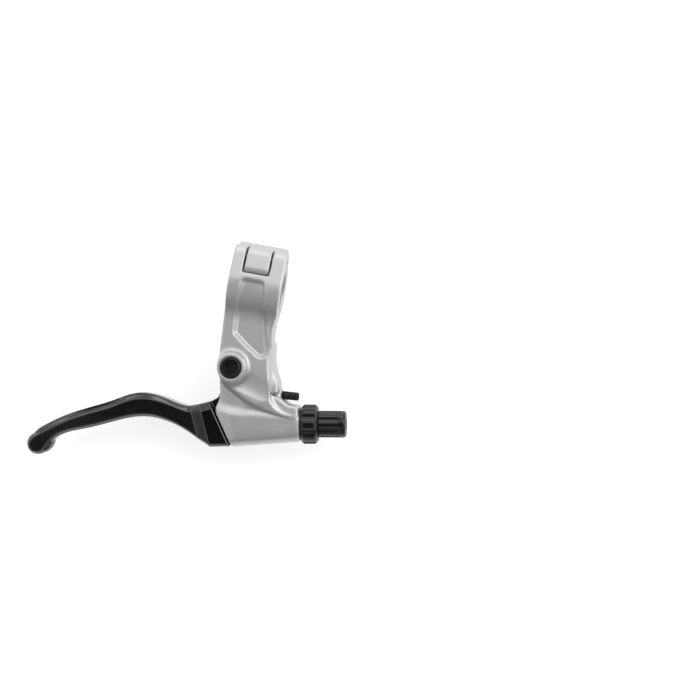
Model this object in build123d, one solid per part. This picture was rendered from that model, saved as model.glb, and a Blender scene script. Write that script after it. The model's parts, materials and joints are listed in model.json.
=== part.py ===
from build123d import *
import os
from math import cos, radians, sin

# Bicycle brake lever in millimetres. The origin is the centre of the bar clamp: +X runs along the
# handlebar towards its middle, +Y points from the lever to the bar, +Z is the upper face of the lever.

# Bar clamp
BAR_D = 22.2
BAR_CLEARANCE = 0.05
CLAMP_WIDTH = 21.5
CLAMP_WALL = 4.85
CLAMP_SPLIT = 1.0
BAND_CROWN_Y = 14.8
BAND_CROWN_Z = 0.5
BAND_CROWN_R = 4.2

# Clamp hinge
HINGE_Y = 12.0
HINGE_Z = 8.8
HINGE_PIN_D = 3.5
HINGE_PIN_RECESS = 0.4
EAR_R = 5.0
TONGUE_R = 8.7
TONGUE_WIDTH = 10.6
TONGUE_X = 0.35
TONGUE_NOSE_R = 3.0
HINGE_GAP = 0.7

# Clamp screw
CLAMP_SCREW_D = 5.0
CLAMP_SCREW_Y = -16.2
CLAMP_SCREW_END_Z = 6.5
CLAMP_SCREW_HEAD_D = 8.5
CLAMP_SCREW_HEAD_H = 5.0
CLAMP_SCREW_KEY = 4.0
CLAMP_SCREW_KEY_DEPTH = 3.0
CLAMP_HOLE_PLAY = 0.3
CLAMP_HOLE_SLOT = 1.4
WASHER_D = 9.0
WASHER_T = 1.0
SPOT_FACE_PLAY = 0.7
LUG_FACE_Z = -8.5
LUG_END_Y = -20.6
LUG_CORNER_R = 2.0

# Arm and clevis; the s and t of the barrel are explained below
ARM_FACE_Z = 10.0
ARM_SHOULDER_R = 9.0
ARM_NECK_Y = -13.0
ARM_SWELL = 0.9
ARM_SWELL_UP = 12.0
ARM_STEP_GAP = 0.7
ARM_STEP_SLOPE = 1.0
ARM_STEP_DEPTH = 6.0
ARM_STEP_R = 1.0
ARM_HEEL_R = 3.0
ARM_BACK_Y = -26.0
ARM_BACK_R = 2.0
PIVOT_X = -3.25
PIVOT_Y = -36.5
BULGE_R = 6.1
BULGE_END_DEG = 222.0
CREASE_POINTS = [(-32.4, 17.0), (-27.9, 13.3), (-23.9, 9.9), (-18.2, 7.2), (-11.6, 5.0)]
FOOT_POINTS = [(-9.0, 6.6), (-12.0, 10.6), (-12.7, 17.5)]
TOE_S = -1.6
TOE_LOW_T = 2.4
TOE_HIGH_T = 4.2
TOE_FOLD = [(-19.5, 8.0), (-11.0, 15.3)]
TOE_FALL = 8.0
CREASE_BEVEL = 1.7
DISH_START = (3.5, -3.6)
DISH_END = (22.6, -10.3)
DISH_DEPTH = 1.2
DISH_RISE = 0.8
DISH_R = 13.0
WEB_HALF_T = 7.8
WEB_CORNER_UP = 7.7
WEB_LEFT = [(-4.6, 0.0), (-4.5, -6.4), (-3.2, -12.0), (-3.3, -15.0)]
WEB_FOOT = [(-25.0, 0.0), (-8.0, 2.0), (-8.5, 8.0), (-11.6, 9.0)]
WEB_RIGHT = [(16.8, -4.3), (12.0, 0.0)]
WEB_RADII = [0, 5.0, 3.0, 2.0, 0, 0, 0, 0, 2.5, 2.0, 0]
GUSSET_HALF_T = 3.6
GUSSET_OUTLINE = [(-14.0, 4.0), (-0.6, 4.0), (-0.6, 8.3), (-4.9, 8.8), (-8.2, 11.5), (-14.0, 14.0)]
GUSSET_RADII = [0, 0, 0.6, 6.0, 0, 0]
POCKET_OUTLINE = [(-3.8, 1.4), (4.0, 1.4), (6.0, -9.0), (10.4, -30.8),
                  (1.2, -25.0), (-4.1, -21.0), (-4.8, -9.0)]
POCKET_RADII = [0.8, 0.8, 20.0, 1.6, 10.0, 1.0, 20.0]
POCKET_DEPTH = 1.5
POCKET_BEVEL = 1.4

# Pivot
BOSS_BASE_R = 7.9
BOSS_TOP_R = 6.2
BOSS_H = 2.4
PIVOT_D = 6.0
PIVOT_HEAD_D = 9.0
PIVOT_HEAD_H = 3.1
PIVOT_HEAD_SINK = 2.2
PIVOT_KEY = 6.0
PIVOT_KEY_DEPTH = 2.6
PIVOT_NUT_D = 9.0
PIVOT_NUT_T = 2.6
PIVOT_END_OUT = 0.6
BUSH_WALL = 0.7
BUSH_LENGTH = 3.2
BUSH_FLANGE_D = 8.8
BUSH_FLANGE_T = 0.6

# Cable barrel of the body: s runs along the cable, out of the barrel's mouth, t is square to it
BARREL_TILT = 10.6
BARREL_MOUTH_X = 30.25
BARREL_MOUTH_Y = -55.7
BARREL_MOUTH_D = 15.2
BARREL_MOUTH_FLAT = 3.0
BARREL_LENGTH = 42.0
BARREL_ROOT_H = 21.2
BARREL_ROOT_T = 19.6
BARREL_ROOT_R = 5.5
BARREL_RIM = 0.7
SLANT_S = -34.3
SLANT_DEG = 24.7
FACET_WIDTH = 4.6
FACET_DROP = 0.9
CAVITY_END_S = -19.8
CAVITY_TOP_T = 3.0
CAVITY_FLOOR_T = -7.4
CABLE_HOLE_D = 3.0
CABLE_SLOT = 1.9

# Adjuster and locknut
ADJUSTER_THREAD_D = 10.0
ADJUSTER_THREAD_IN = 14.0
ADJUSTER_D = 11.9
ADJUSTER_LENGTH = 12.2
ADJUSTER_END_R = 1.2
ADJUSTER_FLUTES = 8
ADJUSTER_FLUTE_R = 1.9
ADJUSTER_FLUTE_DEPTH = 0.7
ADJUSTER_FLUTE_STOP = 1.2
HOUSING_D = 6.1
HOUSING_DEPTH = 9.0
LOCKNUT_D = 17.4
LOCKNUT_T = 7.6
LOCKNUT_BEVEL = 1.3
LOCKNUT_LOBES = 8
LOCKNUT_SCALLOP_R = 3.2
LOCKNUT_SCALLOP_DEPTH = 0.9

# Reach screw
REACH_D = 4.0
REACH_TILT = 5.2
REACH_BOSS_X = 19.7
REACH_BOSS_Y = -44.7
REACH_BOSS_D = 7.8
REACH_BOSS_R = 1.4
REACH_OUT = 7.4
REACH_IN = 13.1
REACH_KEY = 2.0
REACH_KEY_DEPTH = 2.5

# Lever
LEVER_TRAVEL = 36.0
LEVER_EYE_R = 5.9
LEVER_EYE_T = 8.0
NECK_TOP = (-2.8, -7.0)
NECK_FOOT = (-4.4, -14.2)
NECK_R = 2.0
NECK_UP = 11.3
NECK_DOWN = -6.5
NECK_SINK = 2.0
SLOT_SIDE_GAP = 0.05
SLOT_END_GAP = 0.8
BLOCK_HALF_T = 8.7
BLOCK_GAP = 0.5
BLOCK_UP = 11.6
BLOCK_DOWN = -9.9
BLOCK_EDGE = 0.5
BLOCK_SETBACK = 3.3
BLOCK_END_BAR = (-44.1, 9.1)
BLOCK_END_FAR = (-39.4, -9.7)
FACE_SETBACK = 2.7
RIDGE_WIDTH = 0.6
RIDGE_DROP = 0.35
HOLLOW_IN = 0.9
HOLLOW_DROP = 1.3
BAR_RIM_DROP = 2.2
FAR_BEVEL_WIDTH = 1.3
FAR_BEVEL_DROP = 1.7
GROOVE_DEPTH = 0.9
GROOVE_SPREAD = 0.7
TIP_X = -83.75
TIP_Y = -86.05
TIP_R = 4.9
TIP_HALF_T = 4.6
TIP_EDGE_R = 2.6

# Blade stations: point towards the bar, point on the far side, half thickness, depth of the groove.
# A point is its share of the way from the blade's root to its tip, and its Y.
BLADE_ROOT_X = -11.15
BLADE_STATIONS = [
    ((0.1053, -56.4), (0.0082, -70.9), 6.4, 0.0),
    ((0.1645, -56.7), (0.0722, -68.7), 6.25, 0.0),
    ((0.2256, -55.9), (0.1405, -66.8), 6.1, 0.0),
    ((0.3374, -54.6), (0.3003, -64.7), 5.9, 0.0),
    ((0.4545, -55.6), (0.4159, -65.8), 5.7, GROOVE_DEPTH / 3),
    ((0.5744, -60.2), (0.5151, -68.5), 5.5, GROOVE_DEPTH),
    ((0.7535, -66.9), (0.7011, -74.8), 5.2, GROOVE_DEPTH),
    ((0.8898, -72.6), (0.8402, -79.1), 4.9, GROOVE_DEPTH / 2),
    ((0.9697, -76.8), (0.9009, -82.6), 4.8, 0.0),
    ((1.0386, -82.2), (0.9339, -87.4), TIP_HALF_T, 0.0),
]

# Cable anchor
ANCHOR_S = -27.5
ANCHOR_D = 8.6
ANCHOR_EYE_WALL = 1.8
NIPPLE_D = 6.9
NIPPLE_DEPTH = 6.0
WINDOW_PLAY = 0.8

# Return spring
SPRING_WIRE_D = 0.8
SPRING_END_D = 0.76
SPRING_R = 4.95
SPRING_ARC = 270.0
SPRING_LEG = 9.3
SPRING_BEND = 20.0
SPRING_SEAT_Z = 2.9
SPRING_SEAT_R = 12.5
SPRING_PLAY = 0.1
EYE_SLEEVE_R = 4.4

# Fits
RUNNING_FIT = 0.05
PRESS_FIT = 0.02
SEAT_GAP = 0.1
EDGE_BREAK = 0.5
HOLE_RUNOUT = 1.0
TOUCH = 0.01

BORE_R = BAR_D / 2 + BAR_CLEARANCE
RING_R = BORE_R + CLAMP_WALL
HALF_WIDTH = CLAMP_WIDTH / 2
HALF_SPLIT = CLAMP_SPLIT / 2
HALF_EYE = LEVER_EYE_T / 2
SLOT_HALF_T = HALF_EYE + BUSH_FLANGE_T + 2 * SLOT_SIDE_GAP
SLOT_R = LEVER_EYE_R + SLOT_END_GAP
PIVOT = (PIVOT_X, PIVOT_Y)
PIVOT_SEAT_Z = ARM_FACE_Z + BOSS_H - PIVOT_HEAD_SINK
FAR = 60.0
STANDING = (Align.CENTER, Align.CENTER, Align.MIN)


def along_cable(s, t=0.0):
    """Point of the XY plane at s along the cable line and t square to it."""
    a = radians(BARREL_TILT)
    return (BARREL_MOUTH_X + s * cos(a) - t * sin(a), BARREL_MOUTH_Y + s * sin(a) + t * cos(a))


def from_pivot(dx, dy):
    """Point of the XY plane counted from the lever's pivot."""
    return (PIVOT_X + dx, PIVOT_Y + dy)


def cable_plane(s):
    """Plane square to the cable line: local y is t, local z runs out of the barrel's mouth."""
    a = radians(BARREL_TILT)
    return Plane(origin=(*along_cable(s), 0), x_dir=(0, 0, -1), z_dir=(cos(a), sin(a), 0))


def reach_plane(out):
    """Plane square to the reach screw, at a distance out from the face of its boss."""
    a = radians(REACH_TILT)
    origin = (REACH_BOSS_X + out * cos(a), REACH_BOSS_Y + out * sin(a), 0)
    return Plane(origin=origin, x_dir=(0, 0, -1), z_dir=(cos(a), sin(a), 0))


def slant_plane():
    """Plane of the barrel's slanted end, facing the lever."""
    a = radians(BARREL_TILT + SLANT_DEG)
    return Plane(origin=(*along_cable(SLANT_S), 0), x_dir=(0, 0, 1), z_dir=(-cos(a), -sin(a), 0))


def slant_point(up, gap=0.0):
    """Point of the XY plane on the slanted end, up from the cable line and gap out of it."""
    a = radians(BARREL_TILT + SLANT_DEG)
    x, y = along_cable(SLANT_S)
    return (x - gap * cos(a) - up * sin(a), y - gap * sin(a) + up * cos(a))


def polygon(*points, radius=0.0):
    """Closed face through the points, its corners rounded by one radius or a list of radii."""
    radii = radius if isinstance(radius, (list, tuple)) else [radius] * len(points)
    return make_face(FilletPolyline(*points, radius=radii, close=True))


def front_prism(face, low, high):
    """Solid from a face drawn in X and Y, between two heights Z."""
    return extrude(Pos(0, 0, low) * face, amount=high - low, dir=(0, 0, 1))


def side_prism(face, low, high):
    """Solid from a face drawn in Y and Z, between two stations X."""
    return extrude(Plane.YZ.offset(low) * face, amount=high - low, dir=(1, 0, 0))


def post(x, y, r, low, high):
    """Upright cylinder between two heights Z."""
    return Pos(x, y, low) * Cylinder(r, high - low, align=STANDING)


def rod(plane, r, length):
    """Cylinder standing on a plane."""
    return plane * Cylinder(r, length, align=STANDING)


def hinge_rod(r, low, high):
    """Cylinder on the clamp hinge's axis between two stations X."""
    return side_prism(Pos(HINGE_Y, HINGE_Z) * Circle(r), low, high)


def clamp_outline(ring_r):
    """Side view of the clamp ring with the ears' round end drawn into it by flat tangents."""
    return make_hull((Circle(ring_r) + Pos(HINGE_Y, HINGE_Z) * Circle(EAR_R)).edges())


def front_of_split(split):
    """Side view of the space in front of the hinge line and, below the bar, of the split height."""
    hinge_line_end = (FAR, FAR * HINGE_Z / HINGE_Y)
    return polygon((0, 0), hinge_line_end, (HINGE_Y, FAR), (-FAR, FAR), (-FAR, split), (-BORE_R / 2, split))


def front_half_profile(skin=0.0):
    """Side view of the body: front half of the clamp ring, ears, shoulder and arm, its face sunk by skin."""
    step_y = LUG_END_Y - ARM_STEP_GAP
    ring_r, face_z = RING_R - skin, ARM_FACE_Z - skin
    arm = polygon((0, HALF_SPLIT), (step_y, HALF_SPLIT), (step_y - ARM_STEP_SLOPE, -ARM_STEP_DEPTH),
                  (ARM_BACK_Y, -ARM_FACE_Z), (-FAR, -ARM_FACE_Z), (-FAR, face_z), (0, face_z),
                  radius=[0, ARM_STEP_R, ARM_HEEL_R, ARM_BACK_R, 0, 0, 0])
    ring = (clamp_outline(ring_r) & front_of_split(HALF_SPLIT)) + Pos(HINGE_Y, HINGE_Z) * Circle(EAR_R)
    profile = ring + arm
    shoulder = profile.vertices().sort_by_distance((-(ring_r**2 - face_z**2) ** 0.5, face_z))[0]
    return fillet(shoulder, ARM_SHOULDER_R) - Circle(BORE_R)


def bulge_point(degrees):
    """Point of the XY plane on the round edge of the arm beside the pivot."""
    a = radians(degrees)
    return from_pivot(BULGE_R * cos(a), BULGE_R * sin(a))


def crease_curve():
    """Lower edge of the arm, from the bulge at the pivot to the toe."""
    return Spline(bulge_point(BULGE_END_DEG), *[along_cable(s, t) for s, t in CREASE_POINTS],
                  along_cable(TOE_S, TOE_LOW_T))


def arm_outline():
    """Front view of clamp half and arm: straight ears, pivot bulge, and a foot flared along the barrel."""
    top = RING_R + EAR_R
    neck_left, neck_right = (-HALF_WIDTH, ARM_NECK_Y), (HALF_WIDTH, ARM_NECK_Y)
    bulge_start, bulge_mid, bulge_end = (bulge_point(180 + k * (BULGE_END_DEG - 180)) for k in (0, 0.5, 1))
    toe_low, toe_high = along_cable(TOE_S, TOE_LOW_T), along_cable(TOE_S, TOE_HIGH_T)
    swell = (HALF_WIDTH + ARM_SWELL, PIVOT_Y + ARM_SWELL_UP)
    edges = Polyline((-HALF_WIDTH, top), neck_left, bulge_start)
    edges += ThreePointArc(bulge_start, bulge_mid, bulge_end)
    edges += crease_curve()
    edges += Line(toe_low, toe_high)
    edges += Spline(toe_high, *[along_cable(s, t) for s, t in FOOT_POINTS], swell, neck_right)
    edges += Polyline(neck_right, (HALF_WIDTH, top), (-HALF_WIDTH, top))
    return make_face(edges)


def slant_facet(side):
    """Wedge that slopes one face of the barrel down towards its slanted end; side is +1 or -1."""
    a = radians(BARREL_TILT + SLANT_DEG)
    plane = Plane(origin=(*along_cable(SLANT_S), 0), x_dir=(0, 0, side), z_dir=(-sin(a), cos(a), 0))
    taper = (BARREL_ROOT_T - BARREL_MOUTH_D) / 2 / BARREL_LENGTH
    end_z = BARREL_ROOT_T / 2 - taper * (BARREL_LENGTH + SLANT_S)
    fold_z = end_z - taper * FACET_WIDTH
    width = side * FACET_WIDTH
    wedge = polygon((end_z - FACET_DROP, 0), (fold_z, width), (FAR, width), (FAR, 0))
    return extrude(plane * wedge, amount=FAR, both=True)


def cable_barrel():
    """Tapered barrel: rounded square at the lever, rounder at the adjuster, with its slanted end."""
    root = cable_plane(-BARREL_LENGTH) * RectangleRounded(BARREL_ROOT_T, BARREL_ROOT_H, BARREL_ROOT_R)
    mouth_r = (BARREL_MOUTH_D - BARREL_MOUTH_FLAT) / 2
    mouth = cable_plane(0) * RectangleRounded(BARREL_MOUTH_D, BARREL_MOUTH_D, mouth_r)
    barrel = loft([root, mouth])
    barrel = chamfer(barrel.faces().sort_by(Axis.X)[-1].edges(), BARREL_RIM)
    barrel -= slant_plane() * Box(FAR, FAR, FAR, align=STANDING)
    corner = polygon(slant_point(WEB_CORNER_UP), from_pivot(*WEB_LEFT[-1]), PIVOT, slant_point(FAR))
    return barrel - slant_facet(1) - slant_facet(-1) - front_prism(corner, -FAR, FAR)


def clevis_web():
    """Thinner web that carries the barrel under the arm."""
    outline = [from_pivot(*point) for point in WEB_LEFT]
    outline += [slant_point(WEB_CORNER_UP)]
    outline += [along_cable(s, t) for s, t in WEB_FOOT]
    outline += [from_pivot(*point) for point in WEB_RIGHT]
    return front_prism(polygon(*outline, radius=WEB_RADII), -WEB_HALF_T, WEB_HALF_T)


def gusset():
    """Rib between the reach screw's boss and the mouth of the barrel."""
    outline = [along_cable(s, t) for s, t in GUSSET_OUTLINE]
    return front_prism(polygon(*outline, radius=GUSSET_RADII), -GUSSET_HALF_T, GUSSET_HALF_T)


def lever_slot():
    """Clevis slot for the lever's eye, open to the left and through the slanted end."""
    face = polygon(from_pivot(SLOT_R, 0), along_cable(CAVITY_END_S, CAVITY_TOP_T),
                   along_cable(CAVITY_END_S, CAVITY_FLOOR_T), along_cable(-FAR, CAVITY_FLOOR_T),
                   (-FAR, PIVOT_Y))
    return front_prism(face + Pos(*PIVOT) * Circle(SLOT_R), -SLOT_HALF_T, SLOT_HALF_T)


def arm_pocket():
    """Shallow recess that follows the crowned face of clamp and arm."""
    floor = front_half_profile(POCKET_DEPTH) + Circle(BORE_R)
    face = polygon(*POCKET_OUTLINE, radius=POCKET_RADII)
    return front_prism(face, 0, FAR) - side_prism(floor, -FAR, FAR)


def pocketed(arm):
    """The arm with its face pocket, the rim bevelled."""
    pocket = arm_pocket()
    skin, wall = arm.shells()[0], pocket.shells()[0]
    sunk = arm - pocket
    middles = [(edge, Vertex(edge @ 0.5)) for edge in sunk.edges()]
    rim = [edge for edge, mid in middles if skin.distance_to(mid) < TOUCH and wall.distance_to(mid) < TOUCH]
    return chamfer(rim, POCKET_BEVEL)


def crease_wedge():
    """Space beside the arm's crease that bevels the edge of its face."""
    curve = crease_curve()
    along = ((curve @ 1) - (curve @ 0)).normalized()
    inward = along.rotate(Axis.Z, 90)
    ends = (curve @ 0, (curve @ 0) - along * FAR, (curve @ 0) - (along + inward) * FAR,
            (curve @ 1) + (along - inward) * FAR, (curve @ 1) + along * FAR, curve @ 1)
    face = make_face(curve + Polyline(*ends))
    start = Vector(0, 0, ARM_FACE_Z - 2 * CREASE_BEVEL) - inward * CREASE_BEVEL
    return extrude(Pos(*start) * face, amount=FAR, dir=inward + Vector(0, 0, 1))


def toe_slope():
    """Space above the foot's toe, whose face falls from a fold line towards the mouth of the barrel."""
    near, far = (Vector(*along_cable(s, t), ARM_FACE_Z) for s, t in TOE_FOLD)
    fold = (far - near).normalized()
    plane = Plane(origin=near, x_dir=fold, z_dir=(0, 0, 1)) * Rot(TOE_FALL, 0, 0)
    return plane * Box(FAR, FAR, FAR, align=(Align.CENTER, Align.MAX, Align.MIN))


def dish_cutter():
    """Round-ended scoop along the crease, deepest under the pivot boss."""
    low = ARM_FACE_Z - DISH_DEPTH + DISH_R
    start, end = Vector(*from_pivot(*DISH_START), low), Vector(*from_pivot(*DISH_END), low + DISH_RISE)
    return Pos(*start) * Sphere(DISH_R) + rod(Plane(origin=start, z_dir=end - start), DISH_R, FAR)


def dished(arm):
    """The arm with its crease bevelled, its toe sloped and its faces dished beside the pivot."""
    for cutter in (crease_wedge(), toe_slope(), dish_cutter()):
        arm = arm - cutter - mirror(cutter, about=Plane.XY)
    return arm


def pivot_boss():
    """Conical boss on both faces of the clevis, cut off at the arm's outline."""
    cone = Pos(0, 0, ARM_FACE_Z) * Cone(BOSS_BASE_R, BOSS_TOP_R, BOSS_H, align=STANDING)
    cone += Pos(0, 0, ARM_FACE_Z - DISH_DEPTH) * Cylinder(BOSS_BASE_R, DISH_DEPTH, align=STANDING)
    return Pos(*PIVOT) * (cone + Rot(180, 0, 0) * cone) & front_prism(arm_outline(), -FAR, FAR)


def nipple_window():
    """Opening in the rear wall through which the cable's nipple reaches its seat."""
    half = ANCHOR_D / 2 + WINDOW_PLAY
    face = polygon(along_cable(ANCHOR_S, half), along_cable(-FAR, half), along_cable(-FAR, -half),
                   along_cable(ANCHOR_S, -half))
    face += Pos(*along_cable(ANCHOR_S)) * Circle(half)
    return front_prism(face, -FAR, HOLE_RUNOUT - SLOT_HALF_T)


def cable_slit(first):
    """Slit along the underside for laying the cable in, outwards from a station s."""
    return cable_plane(first) * Pos(0, -FAR / 2, FAR) * Box(CABLE_SLOT, FAR, 2 * FAR)


def lever_body():
    arm = side_prism(front_half_profile(), -FAR, FAR) & front_prism(arm_outline(), -FAR, FAR)
    reach_boss = rod(reach_plane(-REACH_IN), REACH_BOSS_D / 2, REACH_IN)
    reach_boss = fillet(reach_boss.edges().filter_by(GeomType.CIRCLE).sort_by(Axis.X)[-1], REACH_BOSS_R)
    body = dished(pocketed(arm)) + pivot_boss() + cable_barrel() + clevis_web() + gusset() + reach_boss
    body -= lever_slot()
    notch_half = TONGUE_WIDTH / 2 + HINGE_GAP
    body -= hinge_rod(TONGUE_R + HINGE_GAP, TONGUE_X - notch_half, TONGUE_X + notch_half)
    body -= hinge_rod(HINGE_PIN_D / 2 + PRESS_FIT, -FAR, FAR)
    body -= post(0, CLAMP_SCREW_Y, CLAMP_SCREW_D / 2 + RUNNING_FIT, -FAR, CLAMP_SCREW_END_Z + HOLE_RUNOUT)
    body -= post(*PIVOT, PIVOT_D / 2 + RUNNING_FIT, -FAR, FAR)
    body -= post(*PIVOT, PIVOT_HEAD_D / 2 + SEAT_GAP, PIVOT_SEAT_Z, FAR)
    body -= post(*PIVOT, PIVOT_NUT_D / 2 + SEAT_GAP, -FAR, -PIVOT_SEAT_Z)
    body -= rod(reach_plane(-2 * REACH_IN), REACH_D / 2 + RUNNING_FIT, 3 * REACH_IN)
    body -= rod(cable_plane(-ADJUSTER_THREAD_IN - HOLE_RUNOUT), ADJUSTER_THREAD_D / 2 + RUNNING_FIT, FAR)
    body -= rod(cable_plane(-FAR), CABLE_HOLE_D / 2, FAR)
    body -= cable_slit(SLANT_S)
    return body - nipple_window()


def clamp_band():
    crown = Pos(BAND_CROWN_Y, BAND_CROWN_Z) * Circle(BAND_CROWN_R)
    lug = polygon((0, -HALF_SPLIT), (0, LUG_FACE_Z), (LUG_END_Y, LUG_FACE_Z), (LUG_END_Y, -HALF_SPLIT),
                  radius=[0, 0, LUG_CORNER_R, 0])
    ring = make_hull((Circle(RING_R) + crown).edges()) + lug
    behind = ring - front_of_split(-HALF_SPLIT) - Circle(BORE_R)
    ears = hinge_rod(EAR_R + HINGE_GAP, -FAR, FAR)
    band = side_prism(behind, -HALF_WIDTH, HALF_WIDTH) - ears
    knuckle = (Pos(HINGE_Y, HINGE_Z) * Circle(TONGUE_R) & clamp_outline(RING_R)) - Circle(BORE_R)
    knuckle = behind + fillet(knuckle.vertices().sort_by(Axis.Y)[-1], TONGUE_NOSE_R)
    band += side_prism(knuckle, TONGUE_X - TONGUE_WIDTH / 2, TONGUE_X + TONGUE_WIDTH / 2)
    band -= hinge_rod(HINGE_PIN_D / 2 + RUNNING_FIT, -FAR, FAR)
    hole_r = CLAMP_SCREW_D / 2 + CLAMP_HOLE_PLAY
    slot = SlotCenterToCenter(CLAMP_HOLE_SLOT, 2 * hole_r, rotation=90)
    band -= front_prism(Pos(0, CLAMP_SCREW_Y - CLAMP_HOLE_SLOT / 2) * slot, -FAR, 0)
    return band - post(0, CLAMP_SCREW_Y, WASHER_D / 2 + SPOT_FACE_PLAY, -FAR, LUG_FACE_Z)


def clamp_hinge_pin():
    half = HALF_WIDTH - HINGE_PIN_RECESS
    return chamfer(hinge_rod(HINGE_PIN_D / 2, -half, half).edges(), EDGE_BREAK)


def hex_socket(key, depth):
    """Hexagonal key socket, its mouth at the origin and its floor below."""
    return extrude(RegularPolygon(key / 2, 6, major_radius=False), amount=depth, dir=(0, 0, -1))


def clamp_bolt():
    seat = LUG_FACE_Z - WASHER_T
    head_end = seat - CLAMP_SCREW_HEAD_H
    head = post(0, CLAMP_SCREW_Y, CLAMP_SCREW_HEAD_D / 2, head_end, seat)
    head = chamfer(head.edges().group_by(Axis.Z)[0], EDGE_BREAK)
    shank = post(0, CLAMP_SCREW_Y, CLAMP_SCREW_D / 2, seat, CLAMP_SCREW_END_Z)
    shank = chamfer(shank.edges().group_by(Axis.Z)[-1], EDGE_BREAK)
    socket = Rot(180, 0, 0) * hex_socket(CLAMP_SCREW_KEY, CLAMP_SCREW_KEY_DEPTH)
    return head + shank - Pos(0, CLAMP_SCREW_Y, head_end) * socket


def clamp_bolt_washer():
    washer = post(0, CLAMP_SCREW_Y, WASHER_D / 2, LUG_FACE_Z - WASHER_T, LUG_FACE_Z)
    return washer - post(0, CLAMP_SCREW_Y, CLAMP_SCREW_D / 2 + RUNNING_FIT, -FAR, FAR)


def pivot_bolt():
    head = post(*PIVOT, PIVOT_HEAD_D / 2, PIVOT_SEAT_Z, PIVOT_SEAT_Z + PIVOT_HEAD_H)
    head = chamfer(head.edges().group_by(Axis.Z)[-1], EDGE_BREAK)
    head -= Pos(*PIVOT, PIVOT_SEAT_Z + PIVOT_HEAD_H) * hex_socket(PIVOT_KEY, PIVOT_KEY_DEPTH)
    return head + post(*PIVOT, PIVOT_D / 2, -PIVOT_SEAT_Z - PIVOT_NUT_T - PIVOT_END_OUT, PIVOT_SEAT_Z)


def pivot_nut():
    hexagon = Pos(*PIVOT) * RegularPolygon(PIVOT_NUT_D / 2, 6)
    nut = front_prism(hexagon, -PIVOT_SEAT_Z - PIVOT_NUT_T, -PIVOT_SEAT_Z)
    return nut - post(*PIVOT, PIVOT_D / 2 + PRESS_FIT, -FAR, FAR)


def pivot_bush(side):
    """Flanged bush in the lever's eye; side is +1 for the upper face and -1 for the lower."""
    r = PIVOT_D / 2 + RUNNING_FIT
    flange_w = BUSH_FLANGE_D / 2 - r
    flange_t = BUSH_FLANGE_T + SLOT_SIDE_GAP
    wall = Pos(r + BUSH_WALL / 2, HALF_EYE - BUSH_LENGTH / 2) * Rectangle(BUSH_WALL, BUSH_LENGTH)
    flange = Pos(r + flange_w / 2, HALF_EYE + flange_t / 2) * Rectangle(flange_w, flange_t)
    bush = revolve(Plane.XZ * (wall + flange), Axis.Z)
    return Pos(*PIVOT, 0) * (bush if side > 0 else Rot(180, 0, 0) * bush)


def blade_point(share, y):
    """Point of the XY plane at a share of the way from the blade's root to its tip."""
    return (BLADE_ROOT_X + share * (TIP_X - BLADE_ROOT_X), y)


def blade_section(bar_side, far_side, half_t, groove=0.0, setback=FACE_SETBACK):
    """Faceted section across the blade, wide bevels towards the bar and narrow ones on the far side."""
    bar, far = Vector(*bar_side), Vector(*far_side)
    across = (bar - far).normalized()
    half = (bar - far).length / 2
    mid = (bar + far) / 2
    plane = Plane(origin=(mid.X, mid.Y, 0), x_dir=(across.X, across.Y, 0), z_dir=(across.Y, -across.X, 0))
    face_edge = half - setback
    ridge = (face_edge + RIDGE_WIDTH, half_t - RIDGE_DROP)
    hollow = (half - HOLLOW_IN - groove * GROOVE_SPREAD, half_t - HOLLOW_DROP - groove)
    far_bevel = [(-half, half_t - FAR_BEVEL_DROP), (FAR_BEVEL_WIDTH - half, half_t)]
    front = far_bevel + [(face_edge, half_t), ridge, hollow, (half, half_t - BAR_RIM_DROP)]
    back = [(n, -z) for n, z in reversed(front)]
    return plane * make_face(Polyline(*front, *back, close=True))


def lever_tongue():
    """Flat part of the lever in the clevis: eye, neck and the seat of the cable anchor."""
    anchor = along_cable(ANCHOR_S)
    seat_r = ANCHOR_D / 2 + ANCHOR_EYE_WALL
    sink = BLOCK_GAP + NECK_SINK
    neck = polygon(from_pivot(LEVER_EYE_R, 0), (anchor[0] + seat_r, anchor[1]),
                   (anchor[0], anchor[1] - seat_r), slant_point(NECK_DOWN, sink), slant_point(NECK_UP, sink),
                   from_pivot(*NECK_FOOT), from_pivot(*NECK_TOP), from_pivot(-LEVER_EYE_R, 0),
                   radius=[0, 0, 0, 0, 0, NECK_R, NECK_R, 0])
    outline = neck + Pos(*PIVOT) * Circle(LEVER_EYE_R) + Pos(*anchor) * Circle(seat_r)
    tongue = front_prism(outline, -HALF_EYE, HALF_EYE)
    tongue -= post(*PIVOT, SPRING_SEAT_R, SPRING_SEAT_Z, FAR) - post(*PIVOT, EYE_SLEEVE_R, 0, HALF_EYE)
    return tongue - post(*from_pivot(SPRING_R, SPRING_END_D / 4), SPRING_WIRE_D / 2, -SPRING_PLAY, FAR)


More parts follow.
